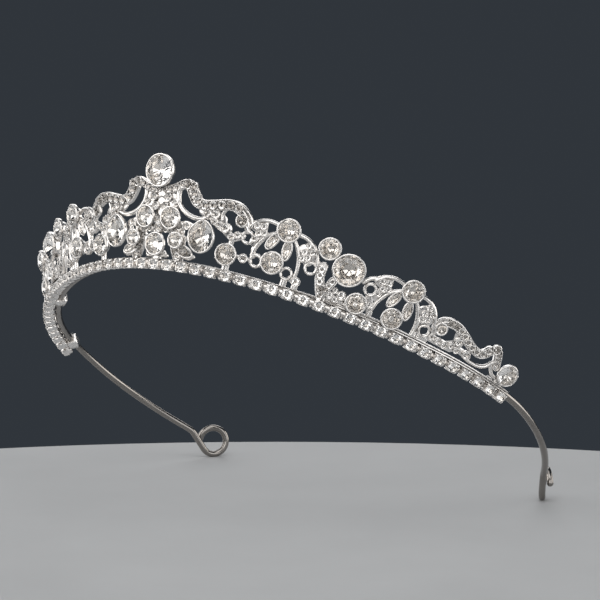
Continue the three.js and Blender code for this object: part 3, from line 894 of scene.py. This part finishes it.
def fan(top, row):
    """Two crescent wings under a top stone: rims and a web of small stones, with three-cornered holes."""

    def at(*places):
        return [(top + s, row + h) for s, h in places]

    return [
        *plain(at((-2.15, -0.3), (-1.8, 0.02), (-1.25, 0.18), (-0.75, 0.14), (-0.4, 0.02)), 1.0, 0.75),
        *plate(at((-1.9, -0.25), (-1.62, -0.35), (-1.5, -0.7), (-1.72, -1.1)), 2.7),
        *plate(at((-1.42, 0.05), (-1.35, -0.45)), 1.4),
        *seats(at((-1.8, -0.24), (-1.42, -0.2), (-1.62, -0.6), (-1.3, -0.52), (-1.76, -0.94)), 0.6, 3),
        *plain(at((-0.5, -0.26), (-1.0, -0.52), (-1.38, -0.92), (-1.62, -1.4), (-1.72, -1.85)), 1.0, 0.7),
        *plain(at((0.32, -0.3), (0.72, -0.78), (0.98, -1.3), (1.1, -1.9), (1.06, -2.3)), 0.95, 0.7),
        *plain(at((0.4, -0.08), (0.95, -0.1), (1.5, -0.34), (1.88, -0.8), (2.08, -1.3)), 1.0, 0.75),
        *plate(at((1.05, -0.75), (1.35, -0.62), (1.6, -0.85), (1.5, -1.25)), 2.5),
        *plate(at((1.15, -1.3), (1.1, -0.8)), 1.3),
        *seats(at((1.32, -0.46), (1.66, -0.72), (1.22, -0.84), (1.5, -1.08), (1.18, -1.2)), 0.58, 3),
    ]


def inner_fan():
    return [
        *fan(7.95, 3.28),
        eyelet(9.75, 1.72, 1.75, 1.0),
        eyelet(6.55, 1.2, 1.8, 1.0),
        eyelet(8.5, 1.02, 1.7, 1.0),
        *plain([(6.22, 1.8), (6.32, 1.4)], 1.1),
        *plate([(8.85, 0.85), (9.2, 0.74)], 1.6),
        *seat(9.2, 0.78, 0.88, 4),
        *plain([(9.2, 0.3), (9.2, 0.7)], 1.6, 0.4),
        *plain([(8.5, 0.3), (8.5, 0.62)], 1.6, 0.4),
        *plain([(9.0, 1.1), (9.12, 0.9)], 0.9, 0.5),
    ]


def middle_cluster():
    return [
        *plain([(10.8, 2.85), (11.2, 2.6)], 1.4),
        *plain([(10.0, 2.2), (10.2, 2.0)], 1.0, 0.5),
        *pave([(10.4, 2.04), (10.42, 1.5), (10.6, 1.0), (10.9, 0.42)], 2.3),
        *pave([(11.24, 1.5), (11.1, 1.15), (10.9, 0.85)], 2.1, ends=(0.3, 0.3)),
        *plain([(11.5, 1.62), (11.25, 1.5)], 1.2, 0.5),
        *plate([(10.9, 0.62), (12.8, 0.66)], 1.7),
        *seats([(11.36, 0.74), (11.72, 0.6), (12.3, 0.7)], 0.62, 4),
        *seat(12.0, 0.94, 0.84, 4),
        *seat(11.56, 1.06, 0.5, 3),
        *plain([(12.9, 0.3), (12.9, 0.7)], 1.8, 0.4),
    ]


def outer_fan():
    return [
        *fan(15.65, 2.7),
        eyelet(13.42, 1.82, 1.8, 1.0),
        *plain([(12.9, 2.05), (13.1, 2.3), (13.4, 2.46), (13.7, 2.5)], 1.0),
        *plate([(13.5, 1.4), (13.7, 1.05), (13.9, 0.6)], 1.6),
        *seat(13.72, 1.02, 0.55, 3),
        *plain([(13.92, 1.1), (13.9, 0.45)], 1.1, 0.5),
        eyelet(17.3, 1.02, 1.7, 1.0),
        *plain([(16.75, 1.2), (16.78, 0.45)], 1.2, 0.6),
        *plate([(16.8, 0.66), (17.6, 0.6)], 1.5),
        *seat(17.0, 0.62, 0.5, 3),
        *plain([(15.2, 0.9), (15.2, 0.45)], 2.4, 0.4),
    ]


def end_scroll():
    return [
        *grooved([(17.84, 1.2), (17.78, 1.62), (18.04, 2.0), (18.5, 2.16), (19.0, 2.12)], 1.5, 0.75),
        *pave(
            [(18.3, 2.02), (18.9, 2.06), (19.5, 1.86), (20.3, 1.5), (20.95, 1.4), (21.3, 1.56), (21.5, 1.86)],
            2.3, ends=(0.5, 0.3),
        ),
        *seat(21.78, 2.1, 0.95, 5),
        *pave([(22.02, 2.0), (22.26, 1.62), (22.42, 1.3)], 2.0),
        *plain([(22.3, 1.34), (22.65, 1.26)], 1.4, 0.5),
        *plate([(19.4, 1.7), (19.5, 1.3), (19.3, 1.0), (19.0, 0.84)], 2.8),
        *seat(19.48, 1.4, 0.82, 4),
        *seats([(19.2, 1.02), (19.62, 0.92)], 0.62, 4),
        *plate([(17.8, 0.8), (18.4, 0.84), (19.1, 0.82)], 2.0),
        *seats([(17.92, 0.92), (18.36, 0.88), (18.8, 0.82)], 0.66, 4),
        *plain([(18.12, 1.3), (17.9, 1.1), (17.84, 0.8)], 0.9, 0.5),
        *plate([(19.6, 1.0), (20.1, 0.96), (20.5, 0.88)], 1.7),
        *seat(20.3, 0.98, 0.85, 5),
        *plain([(20.2, 0.84), (20.8, 0.74), (21.4, 0.78), (21.86, 1.0), (22.14, 1.42)], 0.95, 0.65),
        *plain([(22.2, 1.16), (22.5, 0.86), (22.9, 0.76)], 0.95, 0.5),
        *plain([(23.35, 0.6), (23.35, 0.9)], 2.8, 0.4),
    ]


CASTINGS = [
    ("scroll_arm", scroll_arm, ARM_GEMS, 0.0),
    ("inner_fan", inner_fan, INNER_FAN_GEMS, 0.0),
    ("middle_cluster", middle_cluster, MIDDLE_GEMS, 0.0),
    ("outer_fan", outer_fan, OUTER_FAN_GEMS, 0.0),
    ("end_scroll", end_scroll, END_GEMS, LIFT),
]


def on_foot(shells, climb=0.0):
    """Flattens the feet on to the base rail, where they are soldered; what stands in front of it is left."""
    flat = []
    for verts, faces in shells:
        low = np.where(verts[:, 2] < RAIL_FRONT, rail_top(verts[:, 0]) + climb, 0)
        flat.append((np.column_stack([verts[:, 0], np.maximum(verts[:, 1], low), verts[:, 2]]), faces))
    return flat


def flipped(shells):
    """Mirror images, for the other side of the centre."""
    return [(verts * (-1, 1, 1), faces) for verts, faces in shells]


def build_castings():
    half = crest_side() + cups_of(CREST_GEMS)
    for store in (small_stones, small_foils):
        store += flipped(store)
    whole = joined(on_foot(half + flipped(half) + crest_middle() + cups_of(CENTRE_GEMS)))
    add_piece("cast_centre_crest", whole, PLATED, "centre_crest")
    add_small("crest")
    for name, build, stones, climb in CASTINGS:
        whole = joined(on_foot(build() + cups_of(stones), climb))
        add_piece("cast_" + name, whole, PLATED, name, both_sides=True)
        add_small(name, both_sides=True)


def add_small(name, both_sides=False):
    """The small stones set since the last call, as one glass piece and one silver piece a side."""
    add_piece(name + "_pave", merged(small_stones), CRYSTAL, both_sides=both_sides, smooth=False)
    add_piece(name + "_pave_foil", merged(small_foils), FOIL, both_sides=both_sides, smooth=False)
    small_stones.clear()
    small_foils.clear()


# ---- cup strip ----
def claw(u, v, inward, top):
    """A bent prong: a tapering stem that leans over the stone's edge."""
    stem = (
        (0.0, -0.2, CLAW), (0.0, top - 0.35, CLAW), (0.1, top - 0.1, CLAW), (0.26, top + 0.1, 0.24),
        (0.36, top + 0.17, 0.12),
    )
    turn = circle(8)
    way = np.column_stack([np.cos(turn), np.sin(turn)])
    foot, over = np.array([u, v]), np.array(inward)
    return shell_rings([level(foot + over * lean + way * r, w) for lean, w, r in stem])


def strip_cup(u):
    """A deep square cup with a round stone and four claws."""
    outline = square_outline(1.0, 40, 6.0) * (CUP_WIDTH / 2 - 0.3, CUP_RISE / 2 - 0.3)
    profile = [
        (0.3, 0, CUP_BACK), (0.78, 0, CUP_BACK), (0.9, 0.04, CUP_BACK + 0.14), (0.97, 0.14, -0.5),
        (1, 0.22, 0.1), (1, 0.3, CUP_GIRDLE - 0.6), (1, 0.3, CUP_GIRDLE - 0.16), (1, 0.24, CUP_GIRDLE - 0.06),
        (1, 0.12, CUP_GIRDLE - 0.06), (0.98, 0.04, CUP_GIRDLE - 0.2), (0.6, 0, CUP_GIRDLE - 0.8),
        (0.2, 0, CUP_GIRDLE - 1.0),
    ]
    verts, faces = bowl(outline, profile)
    shells = [(verts + (u, CUP_MIDDLE, 0), faces)]
    for a in (-1, 1):
        for b in (-1, 1):
            corner = (u + a * CUP_CLAWS[0], CUP_MIDDLE + b * CUP_CLAWS[1])
            shells.append(claw(*corner, (-a * 0.6, -b * 0.6), CUP_GIRDLE + 0.14))
    set_stone(u, CUP_MIDDLE, CUP_GIRDLE, CUP_STONE)
    return shells


def link_block(u):
    """The block low between two cups, and the small ball under it."""
    line = np.column_stack([u + np.linspace(-1.0, 1.0, 7), np.full(7, 0.0)])
    section = round_section(1.3, CUP_BACK, LINK_FRONT, 16, LINK_FRONT - 0.15)
    return [sweep(line, section, capped=False), ball((u, -0.75, -0.6), 0.42, 8, 12)]


def build_strip():
    shells = []
    for cup in range(-CUPS_PER_SIDE, CUPS_PER_SIDE + 1):
        u = cup * PITCH
        shells += strip_cup(u)
        if cup < CUPS_PER_SIDE:
            shells += link_block(u + PITCH / 2)
    add_piece("strip_of_cups", lifted(joined(shells)), PLATED, "cup_strip")
    small_stones[:] = [lifted(shell) for shell in small_stones]
    small_foils[:] = [lifted(shell) for shell in small_foils]
    add_small("strip")


def build_rail():
    """The base rail: two fine bars on a common back, closing to one thin bar at the front of the tiara."""
    end = (CUPS_PER_SIDE + RAIL_OVERHANG) * PITCH
    rings = []
    for u in np.linspace(-end, end, 390):
        half = (rail_top(u) - RAIL_FOOT) / 2
        open_by = (rail_top(u) - RAIL_NARROW) / (FOOT_LINE - SOLDER - RAIL_NARROW)
        groove = min(0.12, half * 0.4)
        right = [
            (half * 0.9, -0.5), (half, -0.3), (half, 0.36), (half * 0.88, 0.46), ((half + groove) / 2, 0.5),
            (groove + 0.04, 0.44), (groove, 0.38 - 0.1 * open_by), (groove, 0.34 - 0.6 * open_by),
        ]
        section = np.array(right + [(-across, w) for across, w in reversed(right)])
        along = np.full(len(section), u)
        rings.append(np.column_stack([along, RAIL_FOOT + half + section[:, 0], section[:, 1]]))
    add_piece("rail_bar", lifted(shell_rings(rings)), PLATED, "base_rail")


# ---- headband wire ----
def wire_line():
    """Centre line of the wire from the front to the tip of the left loop, in metres."""
    arm = bend([(u, wire_row(u), WIRE_BACK) for u in np.arange(0, ARM_END, 1.0)])
    kink = bend([(ARM_END, wire_row(ARM_END), WIRE_BACK)])[0]
    along = kink - bend([(ARM_END - 1, wire_row(ARM_END - 1), WIRE_BACK)])[0]
    along /= np.linalg.norm(along)
    out = np.cross(along, (0, 0, 1))
    out /= np.linalg.norm(out)
    shank_way = along * math.cos(LOOP_DROP) + np.cross(out, along) * math.sin(-LOOP_DROP)
    inward = np.cross(out, shank_way)
    shank = [kink + shank_way * d * MM for d in np.arange(0.8, LOOP_SHANK, 0.8)]
    loop = []
    for turn in np.linspace(0, LOOP_TURN, 60):
        ahead = shank_way * (LOOP_SHANK + LOOP_RADIUS * math.sin(turn))
        round_in = inward * LOOP_RADIUS * (1 - math.cos(turn))
        loop.append(kink + (ahead + round_in + out * LOOP_SPREAD * turn / LOOP_TURN) * MM)
    return np.concatenate([arm, [kink], shank, loop])


def tube(points, radius):
    """A round tube with domed ends along a line in metres."""
    way = np.gradient(points, axis=0)
    way /= np.linalg.norm(way, axis=1)[:, None]
    side = np.cross(way[0], (0, 0, 1.0))
    side /= np.linalg.norm(side)
    rings = []
    dome = [(math.sin(t), math.cos(t)) for t in CAP_TURNS[::-1]]

    def ring(point, direction, size):
        up = np.cross(side, direction)
        turn = circle(16)
        return point + radius * size * (np.cos(turn)[:, None] * side + np.sin(turn)[:, None] * up)

    for i, (point, direction) in enumerate(zip(points, way)):
        side = side - direction * side.dot(direction)
        side /= np.linalg.norm(side)
        if i == 0:
            rings += [ring(point - direction * radius * a, direction, s) for a, s in dome + [(0, 1)]]
        elif i == len(points) - 1:
            rings += [ring(point + direction * radius * a, direction, s) for a, s in [(0, 1)] + dome[::-1]]
        else:
            rings.append(ring(point, direction, 1.0))
    return shell_rings(rings)


def build_sleeves():
    """Crimp sleeves that hold the wire behind the strip: rounded blocks with a flat back."""
    for name, station in SLEEVES:
        for side, label in ((1, "_left"), (-1, "_right")):
            u = station * PITCH * side
            along, up, face = axes_at(u)
            centre = bend([(u, wire_row(station * PITCH), WIRE_BACK)])[0]
            outline = square_outline(SLEEVE / 2, 48, 5.0)
            bore = round_outline(WIRE_RADIUS + 0.02, 48)
            half = SLEEVE_LENGTH / 2
            rings = []
            for edge, hole in zip(outline, bore):
                inset = edge * (1 - SLEEVE_EDGE / np.linalg.norm(edge))
                section = [
                    (-half, hole), (-half, inset), (SLEEVE_EDGE - half, edge), (half - SLEEVE_EDGE, edge),
                    (half, inset), (half, hole),
                ]
                rings.append([centre + (along * a + up * p[0] + face * p[1]) * MM for a, p in section])
            verts, faces = loop_rings(np.array(rings))
            obj = new_object("sleeve_" + name + label, verts, faces, PLATED, angle=50)
            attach(obj, "root")
            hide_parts(name + label)


def smooth_line(points):
    """Evens out a line twice; its ends stay."""
    for _ in range(2):
        points[1:-1] = points[1:-1] * 0.5 + (points[:-2] + points[2:]) * 0.25
    return points


def build_wire():
    left = wire_line()
    right = left[:0:-1] * (-1, 1, 1)
    points = smooth_line(np.concatenate([right, left]))
    verts, faces = tube(points, WIRE_RADIUS * MM)
    obj = new_object("band_wire", verts, faces, WIRE, angle=60)
    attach(obj, "root")
    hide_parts("headband_wire")


# ---- stage, light and camera, in metres ----
CAMERA_AZIMUTH = math.radians(36.3)
CAMERA_ELEVATION = math.radians(6.87)
CAMERA_DISTANCE = 0.7178
CAMERA_AIM = Vector((0.0081, 0.0006, 0.0231))
CAMERA_FIELD = math.radians(12.3)
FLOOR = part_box("headband_wire")[0].z
FLOOR_RADIUS = 0.3
FLOOR_BACK = 0.104  # from the head's middle to the floor's far edge, away from the camera
FLOOR_EDGE = 0.012
FLOOR_DEPTH = 0.25


def build_stage():
    """A plain pale round floor with a soft edge."""
    profile = [(0.0, 0.0), (FLOOR_RADIUS * 0.5, 0.0)]
    for a in np.linspace(0, math.pi / 2, 16):
        reach = FLOOR_RADIUS - FLOOR_EDGE + FLOOR_EDGE * math.sin(a)
        profile.append((reach, -FLOOR_EDGE * (1 - math.cos(a))))
    profile += [(FLOOR_RADIUS, -FLOOR_DEPTH)]
    count = 128
    turn = circle(count)
    shift = FLOOR_RADIUS - FLOOR_BACK
    x, y = shift * math.sin(CAMERA_AZIMUTH), -shift * math.cos(CAMERA_AZIMUTH)
    verts, faces = [(x, y, FLOOR)], []
    for reach, drop in profile[1:]:
        verts += [(x + reach * math.cos(a), y + reach * math.sin(a), FLOOR + drop) for a in turn]
    faces += [(0, 1 + j, 1 + (j + 1) % count) for j in range(count)]
    for i in range(len(profile) - 2):
        for j in range(count):
            k = (j + 1) % count
            low, high = 1 + i * count, 1 + (i + 1) * count
            faces.append((low + j, high + j, high + k, low + k))
    material, tree, shader = node_material("pale_floor")
    add_tint(tree, shader, noise(tree, 40, 3), "Fac", (0.42, 0.43, 0.44), (0.47, 0.48, 0.49))
    shader.inputs["Roughness"].default_value = 0.7
    floor = new_object("floor", verts, faces, material, angle=60)


def add_area(name, azimuth, elevation, distance, width, height, power, color=(1, 1, 1)):
    """A soft box that faces the middle of the tiara, placed by compass and height in degrees."""
    data = bpy.data.lights.new(name, "AREA")
    data.shape = "RECTANGLE"
    data.size = width
    data.size_y = height
    data.energy = power
    data.color = color
    a, e = math.radians(azimuth), math.radians(elevation)
    way = Vector((math.sin(a) * math.cos(e), -math.cos(a) * math.cos(e), math.sin(e)))
    obj = bpy.data.objects.new(name, data)
    obj.location = CAMERA_AIM + way * distance
    obj.rotation_euler = (-way).to_track_quat("-Z", "Y").to_euler()
    obj.visible_camera = False
    bpy.context.scene.collection.objects.link(obj)


def build_lights():
    world = bpy.data.worlds.new("studio")
    world.use_nodes = True
    world.node_tree.nodes["Background"].inputs["Color"].default_value = (0.030, 0.036, 0.044, 1)
    world.node_tree.nodes["Background"].inputs["Strength"].default_value = 1.0
    bpy.context.scene.world = world
    add_area("front", 30, 16, 1.3, 1.0, 0.6, 3.7, (1, 0.985, 0.965))
    add_area("key", -42, 24, 1.0, 0.8, 0.8, 4.5, (1, 0.98, 0.955))
    add_area("high", 40, 56, 1.0, 1.2, 0.5, 3.1, (1, 0.99, 0.975))
    add_area("fill", 88, 10, 1.0, 0.6, 0.8, 2.4)
    add_area("low", 20, -24, 0.9, 1.1, 0.3, 1.2)
    add_area("top", 10, 84, 0.9, 0.6, 0.6, 1.2)
    add_area("side_left", -105, 12, 1.0, 0.8, 0.9, 2.6)
    add_area("back_right", 143, 6, 0.9, 0.6, 0.6, 2.6, (1, 0.97, 0.93))
    add_area("back_left", -150, 28, 0.9, 0.5, 0.5, 1.6)


def build_camera():
    data = bpy.data.cameras.new("camera")
    data.sensor_width = 36
    data.angle = CAMERA_FIELD
    data.clip_start = 0.01
    camera = bpy.data.objects.new("camera", data)
    back = Vector((
        math.sin(CAMERA_AZIMUTH) * math.cos(CAMERA_ELEVATION),
        -math.cos(CAMERA_AZIMUTH) * math.cos(CAMERA_ELEVATION),
        math.sin(CAMERA_ELEVATION),
    ))
    camera.location = CAMERA_AIM + back * CAMERA_DISTANCE
    camera.rotation_euler = (-back).to_track_quat("-Z", "Y").to_euler()
    bpy.context.scene.collection.objects.link(camera)
    bpy.context.scene.camera = camera


scene = bpy.context.scene
scene.view_settings.view_transform = "Standard"
scene.cycles.glossy_bounces = 12
scene.cycles.max_bounces = 20
build_camera()
build_lights()
build_stage()
build_stones()
build_castings()
build_strip()
build_rail()
build_wire()
build_sleeves()
